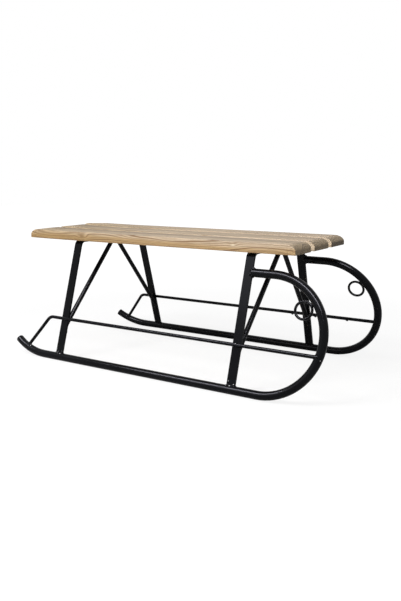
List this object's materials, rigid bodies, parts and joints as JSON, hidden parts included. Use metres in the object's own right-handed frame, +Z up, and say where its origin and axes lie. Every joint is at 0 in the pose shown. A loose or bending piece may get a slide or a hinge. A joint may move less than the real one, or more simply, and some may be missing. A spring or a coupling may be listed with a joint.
{
  "type": "wood and metal sled",
  "caption": "Low sled with lengthwise wooden seat planks on a welded black steel frame: tube runners looped up in front, leaning flat-bar legs, struts, side rods and tow rings.",
  "frame": {"origin": "on the ground, under the middle of the sled's overall length and width", "axes": "+X forward to the runner loops, +Y to the sled's left, +Z up"},
  "size_m": [1.0354, 0.547, 0.388],
  "materials": {
    "black_paint": "satin black powder coat",
    "plank_wood": "smooth sawn wood, dull oil"
  },
  "bodies": {
    "root": {"runner_left": "black_paint", "tail_plug_left": "black_paint", "stringer_left": "black_paint", "tow_ring_left": "black_paint", "runner_right": "black_paint", "tail_plug_right": "black_paint", "stringer_right": "black_paint", "tow_ring_right": "black_paint", "leg_frame_rear": "black_paint", "strut_rear_left": "black_paint", "strut_rear_right": "black_paint", "leg_frame_front": "black_paint", "strut_front_left": "black_paint", "strut_front_right": "black_paint", "plank_left": "plank_wood", "plank_middle": "plank_wood", "plank_right": "plank_wood"}
  },
  "joints": []
}
